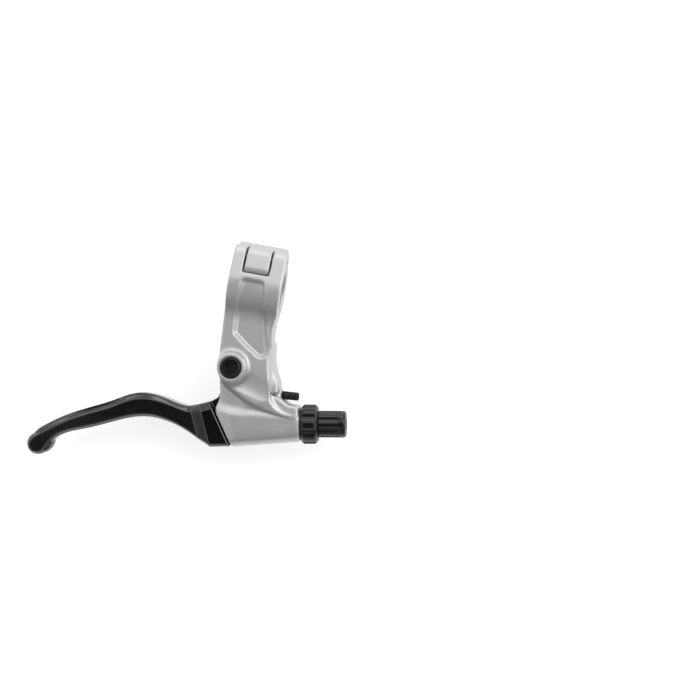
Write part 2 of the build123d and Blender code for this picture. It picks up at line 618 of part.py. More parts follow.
def lever_blade():
    block = []
    for inset in (0, BLOCK_EDGE):
        gap = BLOCK_GAP + inset
        block.append(blade_section(slant_point(BLOCK_UP, gap), slant_point(BLOCK_DOWN, gap),
                                   BLOCK_HALF_T + inset - BLOCK_EDGE, setback=BLOCK_SETBACK))
    block_end = blade_section(along_cable(*BLOCK_END_BAR), along_cable(*BLOCK_END_FAR), BLOCK_HALF_T,
                              setback=BLOCK_SETBACK)
    sections = [blade_section(blade_point(*bar), blade_point(*far), half_t, groove)
                for bar, far, half_t, groove in BLADE_STATIONS]
    tip = post(TIP_X, TIP_Y, TIP_R, -TIP_HALF_T, TIP_HALF_T)
    tip = fillet(tip.edges().filter_by(GeomType.CIRCLE), TIP_EDGE_R)
    lever = lever_tongue() + loft([*block, block_end], ruled=True)
    lever += loft([block_end, sections[0]], ruled=True) + loft(sections) + tip
    anchor = along_cable(ANCHOR_S)
    lever -= post(*PIVOT, PIVOT_D / 2 + RUNNING_FIT + BUSH_WALL + PRESS_FIT, -FAR, FAR)
    lever -= post(*anchor, ANCHOR_D / 2 + RUNNING_FIT, -FAR, FAR)
    swing = radians(BARREL_TILT + LEVER_TRAVEL)
    cable_way = polygon(anchor, along_cable(ANCHOR_S, -CABLE_SLOT / 2), along_cable(0, -CABLE_SLOT / 2),
                        (anchor[0] + FAR * cos(swing), anchor[1] + FAR * sin(swing)))
    return lever - front_prism(cable_way, -FAR, CABLE_SLOT / 2)


def cable_anchor():
    anchor = post(*along_cable(ANCHOR_S), ANCHOR_D / 2, -HALF_EYE, HALF_EYE)
    anchor = chamfer(anchor.edges().filter_by(GeomType.CIRCLE), EDGE_BREAK)
    anchor -= post(*along_cable(ANCHOR_S), NIPPLE_D / 2, -FAR, NIPPLE_DEPTH - HALF_EYE)
    slit = Box(FAR, CABLE_SLOT, FAR, align=(Align.MIN, Align.CENTER, Align.MIN))
    return anchor - cable_plane(ANCHOR_S) * Pos(-CABLE_SLOT / 2, 0, 0) * slit


def return_spring():
    """Light hairpin spring round the eye's sleeve: a tang in the lever's eye, a bent leg on the body."""
    wire_r, end_r = SPRING_WIRE_D / 2, SPRING_END_D / 2
    base_z = SPRING_SEAT_Z + wire_r + SPRING_PLAY
    path = CenterArc((0, 0), SPRING_R, 0, SPRING_ARC)
    wire = sweep(Plane(origin=path @ 0, z_dir=path % 0) * Circle(wire_r), path=path)
    wire += post(SPRING_R, end_r / 2, end_r, -base_z, end_r / 2)
    bend = (path % 1).rotate(Axis.Z, -SPRING_BEND)
    wire += rod(Plane(origin=(path @ 1) - bend * wire_r, z_dir=bend), end_r, SPRING_LEG)
    return Pos(*PIVOT, base_z) * wire


def reach_screw():
    screw = rod(reach_plane(-REACH_IN), REACH_D / 2, REACH_IN + REACH_OUT)
    screw = chamfer(screw.edges().filter_by(GeomType.CIRCLE), EDGE_BREAK)
    return screw - reach_plane(REACH_OUT) * hex_socket(REACH_KEY, REACH_KEY_DEPTH)


def adjuster_locknut():
    plane = cable_plane(SEAT_GAP)
    nut = rod(plane, LOCKNUT_D / 2, LOCKNUT_T)
    nut = chamfer(nut.edges().filter_by(GeomType.CIRCLE), LOCKNUT_BEVEL)
    centre_r = LOCKNUT_D / 2 - LOCKNUT_SCALLOP_DEPTH + LOCKNUT_SCALLOP_R
    for k in range(LOCKNUT_LOBES):
        turn = Rot(0, 0, 360 * (k + 0.5) / LOCKNUT_LOBES)
        nut -= plane * turn * Pos(centre_r, 0, 0) * Cylinder(LOCKNUT_SCALLOP_R, 4 * LOCKNUT_T)
    nut -= rod(cable_plane(-FAR), ADJUSTER_THREAD_D / 2 + RUNNING_FIT, 2 * FAR)
    return nut - cable_slit(-FAR)


def barrel_adjuster():
    start = LOCKNUT_T + 2 * SEAT_GAP
    end = start + ADJUSTER_LENGTH
    grip = rod(cable_plane(start), ADJUSTER_D / 2, ADJUSTER_LENGTH)
    grip = fillet(grip.edges().filter_by(GeomType.CIRCLE).sort_by(Axis.X)[-1], ADJUSTER_END_R)
    centre_r = ADJUSTER_D / 2 - ADJUSTER_FLUTE_DEPTH + ADJUSTER_FLUTE_R
    cutter = Rot(180, 0, 0) * Cylinder(ADJUSTER_FLUTE_R, FAR, align=STANDING)
    cutter += Cone(ADJUSTER_FLUTE_R, ADJUSTER_FLUTE_R / 2, ADJUSTER_FLUTE_R, align=STANDING)
    stop = cable_plane(end - ADJUSTER_FLUTE_STOP - ADJUSTER_FLUTE_R)
    for k in range(ADJUSTER_FLUTES):
        turn = Rot(0, 0, 360 * (k + 0.5) / ADJUSTER_FLUTES)
        grip -= stop * turn * Pos(centre_r, 0, 0) * cutter
    shank = rod(cable_plane(-ADJUSTER_THREAD_IN), ADJUSTER_THREAD_D / 2, ADJUSTER_THREAD_IN + start)
    shank = chamfer(shank.edges().filter_by(GeomType.CIRCLE).sort_by(Axis.X)[0], EDGE_BREAK)
    adjuster = grip + shank - rod(cable_plane(-FAR), CABLE_HOLE_D / 2, 2 * FAR)
    adjuster -= rod(cable_plane(end - HOUSING_DEPTH), HOUSING_D / 2, FAR)
    return adjuster - cable_slit(-FAR)


def main():
    pieces = {
        "lever_body": lever_body(),
        "clamp_band": clamp_band(),
        "clamp_hinge_pin": clamp_hinge_pin(),
        "clamp_bolt": clamp_bolt(),
        "clamp_bolt_washer": clamp_bolt_washer(),
        "pivot_bolt": pivot_bolt(),
        "pivot_nut": pivot_nut(),
        "pivot_bush_front": pivot_bush(1),
        "pivot_bush_rear": pivot_bush(-1),
        "lever_blade": lever_blade(),
        "cable_anchor": cable_anchor(),
        "return_spring": return_spring(),
        "reach_screw": reach_screw(),
        "adjuster_locknut": adjuster_locknut(),
        "barrel_adjuster": barrel_adjuster(),
    }
    os.makedirs("parts", exist_ok=True)
    for name, piece in pieces.items():
        export_step(piece, os.path.join("parts", name + ".step"))


main()
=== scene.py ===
"""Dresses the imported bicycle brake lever: cast and forged surfaces, threads, finishes, studio and camera.

Lengths in this file are in millimetres; Blender's own objects are in metres.
"""

from __future__ import annotations

import json
import logging
import math
from dataclasses import dataclass, replace
from enum import Enum

import bmesh
import bpy
import numpy as np
from mathutils import Matrix, Vector

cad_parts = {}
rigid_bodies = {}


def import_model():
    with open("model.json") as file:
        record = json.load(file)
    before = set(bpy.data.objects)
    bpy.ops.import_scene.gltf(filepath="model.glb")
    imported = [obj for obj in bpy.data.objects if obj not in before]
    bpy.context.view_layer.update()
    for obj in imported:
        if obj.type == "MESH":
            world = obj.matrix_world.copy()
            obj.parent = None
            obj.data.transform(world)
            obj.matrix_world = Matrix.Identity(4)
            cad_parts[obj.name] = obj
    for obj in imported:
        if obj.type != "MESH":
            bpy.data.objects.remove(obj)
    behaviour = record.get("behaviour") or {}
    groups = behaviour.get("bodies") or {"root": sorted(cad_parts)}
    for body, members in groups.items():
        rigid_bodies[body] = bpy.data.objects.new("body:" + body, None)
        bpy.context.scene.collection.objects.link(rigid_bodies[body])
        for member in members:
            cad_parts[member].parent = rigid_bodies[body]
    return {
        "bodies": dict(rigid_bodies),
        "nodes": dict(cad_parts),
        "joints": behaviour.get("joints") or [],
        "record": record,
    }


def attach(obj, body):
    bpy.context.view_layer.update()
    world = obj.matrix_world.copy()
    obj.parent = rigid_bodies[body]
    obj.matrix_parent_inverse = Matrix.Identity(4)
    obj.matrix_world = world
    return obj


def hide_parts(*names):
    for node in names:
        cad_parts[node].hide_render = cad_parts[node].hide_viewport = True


LOG = logging.getLogger("brake_lever")
MM = 0.001
# Corners of a CAD node's loose triangles that lie within this distance, in metres, are one point.
MERGE_DISTANCE = 1e-7
# Share of the way to the mean of its neighbours that smoothing moves a point in one pass.
SMOOTH_SHARE = 0.5
# The Mix node's colour sockets, which share their names with its other sockets.
MIX_DARK, MIX_LIGHT, MIX_COLOUR = 6, 7, 2
# Where most of a Noise texture's values lie.
NOISE_SPAN = (0.3, 0.7)
Point = tuple[float, float]
Place = tuple[float, float, float]


def linear(hex_colour: str) -> tuple[float, float, float, float]:
    """Turns an sRGB hex colour into linear RGBA.

    Args:
        hex_colour: six hex digits, with or without a leading hash.

    Returns:
        The linear colour with alpha 1.
    """
    digits = hex_colour.lstrip("#")
    srgb = [int(digits[i:i + 2], 16) / 255 for i in (0, 2, 4)]
    rgb = [c / 12.92 if c <= 0.04045 else ((c + 0.055) / 1.055) ** 2.4 for c in srgb]
    return (rgb[0], rgb[1], rgb[2], 1.0)


def add_node(tree: bpy.types.NodeTree, kind: str, inputs: dict[str | int, object] | None = None,
             **settings: object) -> bpy.types.Node:
    """Adds a node with its settings, and sets or links its inputs.

    Args:
        tree: the node tree to add to.
        kind: the node's bl_idname.
        inputs: values or sockets for the inputs, by name or index.
        settings: attributes of the node.

    Returns:
        The new node.
    """
    node = tree.nodes.new(kind)
    for name, value in settings.items():
        setattr(node, name, value)
    for key, value in (inputs or {}).items():
        if isinstance(value, bpy.types.NodeSocket):
            tree.links.new(value, node.inputs[key])
        else:
            node.inputs[key].default_value = value
    return node


def smoothstep(low: float, high: float, value: np.ndarray) -> np.ndarray:
    """Rises smoothly from 0 at low to 1 at high."""
    t = np.clip((value - low) / (high - low), 0.0, 1.0)
    return t * t * (3 - 2 * t)


class Grain(Enum):
    """How a metal surface was made, which decides the pattern of its bump."""

    BLASTED = "bead blasted"
    COATED = "sprayed coat"
    TURNED = "turned or drawn"


@dataclass(frozen=True)
class MetalFinish:
    """A metal finish with fine grain, slight mottling of its colour and uneven gloss."""

    name: str
    slot: str
    light: str
    dark: str
    metallic: float
    roughness: float
    roughness_spread: float
    grain: Grain
    grain_mm: float
    grain_depth: float
    mottle_mm: float = 6.0
    coat: float = 0.0
    coat_roughness: float = 0.12
    # Fineness of a turned surface's lines along Z, as a share of that across them.
    line_stretch: float = 0.12

    def material(self) -> bpy.types.Material:
        """Builds the node material.

        Returns:
            The material, made anew.
        """
        made = bpy.data.materials.new(self.name)
        made.use_nodes = True
        tree = made.node_tree
        tree.nodes.clear()
        place = add_node(tree, "ShaderNodeTexCoord").outputs["Object"]
        clouds = add_node(tree, "ShaderNodeTexNoise", {
            "Vector": place, "Scale": 1 / (self.mottle_mm * MM), "Detail": 4.0, "Roughness": 0.6})
        mottle = clouds.outputs["Fac"]
        colour = add_node(tree, "ShaderNodeMix", {
            "Factor": mottle, MIX_DARK: linear(self.dark), MIX_LIGHT: linear(self.light)}, data_type="RGBA")
        gloss = add_node(tree, "ShaderNodeMapRange", {
            "Value": mottle, "From Min": NOISE_SPAN[0], "From Max": NOISE_SPAN[1],
            "To Min": self.roughness - self.roughness_spread,
            "To Max": self.roughness + self.roughness_spread})
        bump = add_node(tree, "ShaderNodeBump", {
            "Height": self.grain_texture(tree, place), "Strength": 1.0, "Distance": self.grain_depth * MM})
        shader = add_node(tree, "ShaderNodeBsdfPrincipled", {
            "Base Color": colour.outputs[MIX_COLOUR], "Metallic": self.metallic,
            "Roughness": gloss.outputs["Result"], "Coat Weight": self.coat,
            "Coat Roughness": self.coat_roughness, "Normal": bump.outputs["Normal"]})
        add_node(tree, "ShaderNodeOutputMaterial", {"Surface": shader.outputs["BSDF"]})
        return made

    def grain_texture(self, tree: bpy.types.NodeTree, place: bpy.types.NodeSocket) -> bpy.types.NodeSocket:
        """Adds the texture whose height makes the grain.

        Args:
            tree: the material's node tree.
            place: the coordinates to read.

        Returns:
            The height socket.
        """
        scale = 1 / (self.grain_mm * MM)
        if self.grain is Grain.BLASTED:
            pits = add_node(tree, "ShaderNodeTexVoronoi", {"Vector": place, "Scale": scale},
                            feature="SMOOTH_F1")
            return pits.outputs["Distance"]
        if self.grain is Grain.TURNED:
            stretch = add_node(tree, "ShaderNodeMapping",
                               {"Vector": place, "Scale": (1.0, 1.0, self.line_stretch)})
            lines = add_node(tree, "ShaderNodeTexNoise",
                             {"Vector": stretch.outputs["Vector"], "Scale": scale, "Detail": 3.0})
            return lines.outputs["Fac"]
        peel = add_node(tree, "ShaderNodeTexNoise", {"Vector": place, "Scale": scale, "Detail": 1.0})
        return peel.outputs["Fac"]


# Cast aluminium, glass-bead blasted and clear anodised: soft grey sheen without sharp reflections.
# The real pits are under 0.1 mm; they are drawn at 0.5 mm so that a trace of them shows in the render.
SATIN_ALLOY = MetalFinish(
    "bead_blasted_anodised_aluminium", "satin_alloy", light="cbcbca", dark="c1c1c0", metallic=1.0,
    roughness=0.50, roughness_spread=0.03, grain=Grain.BLASTED, grain_mm=0.5, grain_depth=0.010)
# Forged aluminium with a sprayed black coat: deep black faces, soft grey reflections on the bevels.
BLACK_COAT = MetalFinish(
    "black_coated_forged_aluminium", "black_lever", light="0b0b0c", dark="08080a", metallic=0.0,
    roughness=0.20, roughness_spread=0.03, grain=Grain.COATED, grain_mm=0.8, grain_depth=0.004, coat=0.75)
# Turned aluminium, black anodised: the tool's fine lines make its reflections long and slightly soft.
BLACK_ANODISED = MetalFinish(
    "black_anodised_turned_aluminium", "black_alloy", light="121214", dark="0d0d0f", metallic=0.0,
    roughness=0.26, roughness_spread=0.04, grain=Grain.TURNED, grain_mm=0.3, grain_depth=0.003)
# Steel screws in black oxide: thin oily black that lets a little of the metal's sheen through.
BLACK_OXIDE = MetalFinish(
    "black_oxide_steel", "black_steel", light="1b1b1c", dark="121213", metallic=0.3,
    roughness=0.38, roughness_spread=0.06, grain=Grain.TURNED, grain_mm=0.3, grain_depth=0.003)
# Zinc-plated steel: bluish grey, fairly bright.
ZINC_PLATE = MetalFinish(
    "zinc_plated_steel", "zinc_steel", light="b9bcc0", dark="a3a7ad", metallic=1.0,
    roughness=0.30, roughness_spread=0.06, grain=Grain.TURNED, grain_mm=0.25, grain_depth=0.002)
# Drawn spring wire: darker steel with fine die lines.
SPRING_WIRE = MetalFinish(
    "drawn_spring_steel", "spring_steel", light="8b8c8f", dark="6f7073", metallic=1.0,
    roughness=0.32, roughness_spread=0.05, grain=Grain.TURNED, grain_mm=0.2, grain_depth=0.002)
# Sintered bronze bushes: warm, matt and slightly porous.
SINTERED_BRONZE = MetalFinish(
    "sintered_bronze", "bronze", light="b98a52", dark="946a3a", metallic=1.0,
    roughness=0.45, roughness_spread=0.06, grain=Grain.BLASTED, grain_mm=0.3, grain_depth=0.004)


def linked(name: str, data: bpy.types.ID) -> bpy.types.Object:
    """Makes an object and links it to the scene.

    Args:
        name: the object's name.
        data: its mesh, light or camera.

    Returns:
        The object.
    """
    obj = bpy.data.objects.new(name, data)
    bpy.context.scene.collection.objects.link(obj)
    return obj


def baked(obj: bpy.types.Object, name: str) -> bpy.types.Mesh:
    """Turns an object with modifiers into a plain mesh and removes the object.

    Args:
        obj: the object to evaluate.
        name: the new mesh's name.

    Returns:
        The evaluated mesh.
    """
    graph = bpy.context.evaluated_depsgraph_get()
    mesh = bpy.data.meshes.new_from_object(obj.evaluated_get(graph))
    mesh.name = name
    obj.modifiers.clear()
    bpy.data.objects.remove(obj)
    return mesh


def coordinates(mesh: bpy.types.Mesh) -> np.ndarray:
    """Reads a mesh's points.

    Args:
        mesh: the mesh to read.

    Returns:
        The points in millimetres, one row each.
    """
    points = np.empty(len(mesh.vertices) * 3, np.float32)
    mesh.vertices.foreach_get("co", points)
    return points.reshape(-1, 3).astype(float) / MM


def set_coordinates(mesh: bpy.types.Mesh, points: np.ndarray) -> None:
    """Writes a mesh's points, given in millimetres."""
    mesh.vertices.foreach_set("co", (points * MM).astype(np.float32).ravel())
    mesh.update()


def joined(name: str, *meshes: bpy.types.Mesh) -> bpy.types.Mesh:
    """Joins meshes into one without merging their points.

    Args:
        name: the new mesh's name.
        meshes: the meshes to join.

    Returns:
        The new mesh.
    """
    shape = bmesh.new()
    for mesh in meshes:
        shape.from_mesh(mesh)
    whole = bpy.data.meshes.new(name)
    shape.to_mesh(whole)
    shape.free()
    return whole


@dataclass(frozen=True)
class Prism:
    """Solid between two heights Z that are the same above and below the lever's middle plane."""

    outline: tuple[Point, ...]
    half_t: float

    def scaled(self, share: float, half_t: float) -> Prism:
        """Gives a prism of another thickness whose outline is drawn towards its middle.

        Args:
            share: what is left of the distance from the middle.
            half_t: half of the new prism's thickness.

        Returns:
            The new prism.
        """
        corners = np.array(self.outline)
        middle = corners.mean(axis=0)
        return Prism(tuple(map(tuple, middle + share * (corners - middle))), half_t)

    def mesh(self) -> bpy.types.Mesh:
        """Makes the closed mesh, its faces outwards.

        Returns:
            The mesh in place, in metres.
        """
        shape = bmesh.new()
        corners = [shape.verts.new((x * MM, y * MM, -self.half_t * MM)) for x, y in self.outline]
        base = shape.faces.new(corners)
        raised = bmesh.ops.extrude_face_region(shape, geom=[base], use_keep_orig=True)["geom"]
        upper = [item for item in raised if isinstance(item, bmesh.types.BMVert)]
        bmesh.ops.translate(shape, verts=upper, vec=(0, 0, 2 * self.half_t * MM))
        bmesh.ops.recalc_face_normals(shape, faces=shape.faces)
        mesh = bpy.data.meshes.new("prism")
        shape.to_mesh(mesh)
        shape.free()
        return mesh


@dataclass(frozen=True)
class BlendZone:
    """Stretch of a piece along a line, where casting or forging left one flowing surface.

    It takes full part up to the core's distance from the line, and none beyond its reach. With a least
    height, only what lies further than that above or below the lever's middle plane takes part.
    """

    line: tuple[Point, ...]
    core: float
    reach: float
    passes: int
    least_height: float = 0.0
    height_fade: float = 1.0

    def at(self, place: np.ndarray) -> BlendZone:
        """Gives the zone moved from the origin to a place."""
        return replace(self, line=tuple((x + place[0], y + place[1]) for x, y in self.line))

    def weights(self, points: np.ndarray) -> np.ndarray:
        """Tells how much each point takes part.

        Args:
            points: the mesh's points.

        Returns:
            Weights from 0 beyond the zone's reach to 1 in its core.
        """
        nearest = np.full(len(points), np.inf)
        for start, end in zip(np.array(self.line), np.array(self.line[1:])):
            run = end - start
            rel = points[:, :2] - start
            share = np.clip(rel @ run / (run @ run), 0, 1)
            nearest = np.minimum(nearest, np.linalg.norm(rel - share[:, None] * run, axis=1))
        weights = 1 - smoothstep(self.core, self.reach, nearest)
        if self.least_height:
            full_height = self.least_height + self.height_fade
            weights *= smoothstep(self.least_height, full_height, np.abs(points[:, 2]))
        return weights

    def blend(self, mesh: bpy.types.Mesh) -> None:
        """Draws each of the zone's points towards the mean of its neighbours, pass by pass.

        Args:
            mesh: the mesh, changed in place.
        """
        points = coordinates(mesh)
        weights = self.weights(points)
        edges = np.empty(len(mesh.edges) * 2, np.int32)
        mesh.edges.foreach_get("vertices", edges)
        edges = edges.reshape(-1, 2)
        edges = edges[(weights[edges] > 0).any(axis=1)]
        ends, others = edges.ravel(), edges[:, ::-1].ravel()
        moved = np.flatnonzero(weights > 0)
        degree = np.bincount(ends, minlength=len(points))[moved, None]
        pull = SMOOTH_SHARE * weights[moved, None]
        for _ in range(self.passes):
            sums = [np.bincount(ends, points[others, axis], len(points))[moved] for axis in range(3)]
            points[moved] += pull * (np.column_stack(sums) / degree - points[moved])
        set_coordinates(mesh, points)


class Workshop:
    """What every sub-assembly works with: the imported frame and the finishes' materials."""

    def __init__(self, frame: dict) -> None:
        self.frame = frame
        self.materials: dict[str, bpy.types.Material] = {}

    def material(self, finish: MetalFinish) -> bpy.types.Material:
        """Gives a finish's material, made once.

        Args:
            finish: the finish.

        Returns:
            The material that every piece with this finish shares.
        """
        if finish.name not in self.materials:
            self.materials[finish.name] = finish.material()
        return self.materials[finish.name]

    def joint_place(self, joint: str) -> np.ndarray:
        """Gives the point that a joint turns about."""
        row = next(row for row in self.frame["joints"] if row["name"] == joint)
        return np.array(row["pos_m"]) / MM

    def copied(self, node: str) -> bpy.types.Mesh:
        """Copies a node's mesh and joins its loose triangles.

        Args:
            node: the CAD node's name.

        Returns:
            A new mesh whose triangles share their corners.
        """
        shape = bmesh.new()
        shape.from_mesh(self.frame["nodes"][node].data)
        bmesh.ops.remove_doubles(shape, verts=shape.verts, dist=MERGE_DISTANCE)
        mesh = bpy.data.meshes.new(node + "_copy")
        shape.to_mesh(mesh)
        shape.free()
        return mesh

    def softened(self, node: str, voxel: float, passes: int, zones: tuple[BlendZone, ...] = (),
                 added: tuple[Prism, ...] = ()) -> bpy.types.Mesh:
        """Rounds a node's edges as casting, forging or tumbling leaves them.

        Args:
            node: the CAD node's name.
            voxel: the size of the even mesh's faces.
            passes: how often the whole surface is smoothed.
            zones: where it flows more than elsewhere.
            added: solids that become one with it.

        Returns:
            The softened mesh.
        """
        whole = joined(node + "_whole", self.copied(node), *[solid.mesh() for solid in added])
        obj = linked(node + "_work", whole)
        even = obj.modifiers.new("even", "REMESH")
        even.mode = "VOXEL"
        even.voxel_size = voxel * MM
        soft = obj.modifiers.new("soft", "SMOOTH")
        soft.factor = SMOOTH_SHARE
        soft.iterations = passes
        mesh = baked(obj, node + "_soft")
        for zone in zones:
            zone.blend(mesh)
        mesh.shade_smooth()
        return mesh

    def seat(self, mesh: bpy.types.Mesh, node: str, body: str, finish: MetalFinish) -> bpy.types.Object:
        """Makes a finished mesh the piece that stands for a node.

        Args:
            mesh: the piece's mesh, in place.
            node: the CAD node that it replaces.
            body: the body that it rides on.
            finish: its finish.

        Returns:
            The piece.
        """
        mesh.materials.clear()
        mesh.materials.append(self.material(finish))
        piece = linked(node + "_finished", mesh)
        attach(piece, body)
        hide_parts(node)
        return piece

    def dress(self, node: str, finish: MetalFinish) -> bpy.types.Object:
        """Gives a node that keeps its CAD mesh its finish.

        Args:
            node: the CAD node's name.
            finish: its finish.

        Returns:
            The node's object.
        """
        piece = self.frame["nodes"][node]
        piece.data.materials.clear()
        piece.data.materials.append(self.material(finish))
        return piece


@dataclass(frozen=True)
class Thread:
    """A screw thread in the plane of the lever, cut in ridges where a slit runs along it."""

    start: Point
    tilt_deg: float
    crest_r: float
    pitch: float
    length: float
    slit_deg: float = 0.0
    points_per_turn: int = 40
    # Depth of the root below the crest, as a share of the pitch.
    root_share: float = 0.47
    # Edges that turn by more than this stay sharp.
    crease_deg: float = 38.0

    def tree(self) -> bpy.types.NodeTree:
        """Builds the Geometry Nodes tree: ridges with a diamond section, one pitch apart.

        Returns:
            The tree, with named inputs for its sizes.
        """
        tree = bpy.data.node_groups.new("thread_turns", "GeometryNodeTree")
        tree.interface.new_socket("Geometry", in_out="OUTPUT", socket_type="NodeSocketGeometry")
        for name, kind in (("Ridge radius", "Float"), ("Pitch", "Float"), ("Turns per ridge", "Float"),
                           ("Ridges", "Int"), ("Points per turn", "Int"), ("Material", "Material")):
            tree.interface.new_socket(name, in_out="INPUT", socket_type="NodeSocket" + kind)
        given = add_node(tree, "NodeGroupInput").outputs
        rise = add_node(tree, "ShaderNodeMath", {0: given["Pitch"], 1: given["Turns per ridge"]},
                        operation="MULTIPLY")
        half = add_node(tree, "ShaderNodeMath", {0: given["Pitch"], 1: 0.5}, operation="MULTIPLY")
        spiral = add_node(tree, "GeometryNodeCurveSpiral", {
            "Resolution": given["Points per turn"], "Rotations": given["Turns per ridge"],
            "Start Radius": given["Ridge radius"], "End Radius": given["Ridge radius"],
            "Height": rise.outputs[0]})
        section = add_node(tree, "GeometryNodeCurvePrimitiveCircle",
                           {"Resolution": 4, "Radius": half.outputs[0]}, mode="RADIUS")
        ridge = add_node(tree, "GeometryNodeCurveToMesh", {
            "Curve": spiral.outputs["Curve"], "Profile Curve": section.outputs["Curve"], "Fill Caps": True})
        step = add_node(tree, "ShaderNodeCombineXYZ", {"Z": given["Pitch"]})
        row = add_node(tree, "GeometryNodeMeshLine",
                       {"Count": given["Ridges"], "Offset": step.outputs["Vector"]}, mode="OFFSET")
        copies = add_node(tree, "GeometryNodeInstanceOnPoints",
                          {"Points": row.outputs["Mesh"], "Instance": ridge.outputs["Mesh"]})
        real = add_node(tree, "GeometryNodeRealizeInstances", {"Geometry": copies.outputs["Instances"]})
        dressed = add_node(tree, "GeometryNodeSetMaterial",
                           {"Geometry": real.outputs["Geometry"], "Material": given["Material"]})
        add_node(tree, "NodeGroupOutput", {"Geometry": dressed.outputs["Geometry"]})
        return tree

    def place(self) -> Matrix:
        """Works out where the thread's first ridge lies.

        Returns:
            The frame of the ridge's start in metres, its local Z along the thread.
        """
        a = math.radians(self.tilt_deg)
        out, side = Vector((math.cos(a), math.sin(a), 0)), Vector((0, 0, -1))
        frame = Matrix((side, out.cross(side), out)).transposed().to_4x4()
        frame.translation = Vector((*self.start, 0.0)) * MM
        turn = Matrix.Rotation(math.radians(self.slit_deg / 2 - 90), 4, "Z")
        return frame @ turn @ Matrix.Translation((0, 0, self.pitch * MM / 2))

    def mesh(self, material: bpy.types.Material) -> bpy.types.Mesh:
        """Realises the thread as a plain mesh.

        Args:
            material: the ridges' material.

        Returns:
            The mesh in place.
        """
        turns = self.length / self.pitch
        per_ridge, ridges = (1 - self.slit_deg / 360, int(turns)) if self.slit_deg else (turns - 1, 1)
        values = {"Ridge radius": (self.crest_r - self.pitch / 2) * MM, "Pitch": self.pitch * MM,
                  "Turns per ridge": per_ridge, "Ridges": ridges, "Points per turn": self.points_per_turn,
                  "Material": material}
        tree = self.tree()
        obj = linked("thread_work", bpy.data.meshes.new("thread_seed"))
        modifier = obj.modifiers.new("turns", "NODES")
        modifier.node_group = tree
        for item in tree.interface.items_tree:
            if item.item_type == "SOCKET" and item.in_out == "INPUT":
                modifier[item.identifier] = values[item.name]
        mesh = baked(obj, "thread")
        mesh.transform(self.place())
        return mesh

    def cut_into(self, mesh: bpy.types.Mesh, material: bpy.types.Material) -> bpy.types.Mesh:
        """Turns a plain cylinder down to the thread's root and lays the ridges on it.

        Args:
            mesh: the piece with its plain cylinder, changed in place.
            material: the ridges' material.

        Returns:
            Piece and ridges as one mesh.
        """
        points = coordinates(mesh)
        a = math.radians(self.tilt_deg)
        out, start = np.array([math.cos(a), math.sin(a), 0.0]), np.array([*self.start, 0.0])
        along = (points - start) @ out
        radial = points - start - along[:, None] * out
        r = np.linalg.norm(radial, axis=1)
        root = self.crest_r - self.root_share * self.pitch
        threaded = (along < self.length) & (along > -self.pitch) & (r > root)
        radial[threaded] *= (root / r[threaded])[:, None]
        set_coordinates(mesh, start + along[:, None] * out + radial)
        whole = joined(mesh.name + "_threaded", mesh, self.mesh(material))
        whole.shade_smooth()
        whole.set_sharp_from_angle(angle=math.radians(self.crease_deg))
        return whole


def ring_line(r: float, corners: int = 24) -> tuple[Point, ...]:
    """Gives the points of a closed ring round the origin of the XY plane."""
    angles = np.linspace(0, 2 * math.pi, corners + 1)
    return tuple((r * math.cos(a), r * math.sin(a)) for a in angles)


@dataclass
class LeverBody:
    """The cast body: clamp half, arm, clevis and cable barrel flow into each other."""

    voxel: float = 0.36
    passes: int = 8
    # Where arm and barrel meet, where the pivot's boss stands on the clevis, and the rib and flank below.
    barrel_top: BlendZone = BlendZone(((-7.7, -54.0), (0.5, -53.0), (5.0, -53.0)),
                                      core=1.6, reach=4.0, passes=60, least_height=5.0)
    boss_foot: BlendZone = BlendZone(ring_line(8.0), core=0.6, reach=2.2, passes=20, least_height=8.5)
    reach_boss: BlendZone = BlendZone(((18.0, -48.5), (22.0, -48.8), (27.0, -49.0)),
                                      core=1.5, reach=4.0, passes=25)
    flank: BlendZone = BlendZone(((12.8, -26.5), (14.2, -31.5), (17.4, -40.0)),
                                 core=2.0, reach=3.6, passes=40)
    # Fillings of the casting: the arm's right flank, which flares to the barrel, and the reach screw's rib.
    flare: Prism = Prism(((4.75, -44.0), (18.25, -44.0), (18.25, -40.2), (15.7, -35.5), (13.5, -30.0),
                          (11.6, -24.0), (4.75, -24.0)), half_t=7.8)
    rib: Prism = Prism(((15.7, -54.4), (28.9, -51.9), (28.2, -47.7), (23.8, -48.0), (20.1, -45.9),
                        (13.9, -44.5)), half_t=7.8)
    # The right side is drawn out between these X, by so much at each Y.
    side_from: Point = (8.5, 10.4)
    side_out: tuple[Point, ...] = ((-31.0, 0.0), (-24.0, 0.9), (-14.5, 0.8), (-11.0, 1.6))

    def build(self, shop: Workshop) -> list[bpy.types.Object]:
        """Makes the casting.

        Args:
            shop: the frame and the finishes.

        Returns:
            Its one piece.
        """
        boss_foot = self.boss_foot.at(shop.joint_place("lever_pivot"))
        zones = (self.barrel_top, boss_foot, self.reach_boss, self.flank)
        mesh = shop.softened("lever_body", self.voxel, self.passes, zones, (self.flare, self.rib))
        self.widen_clamp(mesh)
        return [shop.seat(mesh, "lever_body", "body", SATIN_ALLOY)]

    def widen_clamp(self, mesh: bpy.types.Mesh) -> None:
        """Draws the right side of clamp half and arm outwards, beyond the band.

        Args:
            mesh: the casting, changed in place.
        """
        points = coordinates(mesh)
        out = np.interp(points[:, 1], *zip(*self.side_out))
        points[:, 0] += out * smoothstep(*self.side_from, points[:, 0])
        set_coordinates(mesh, points)


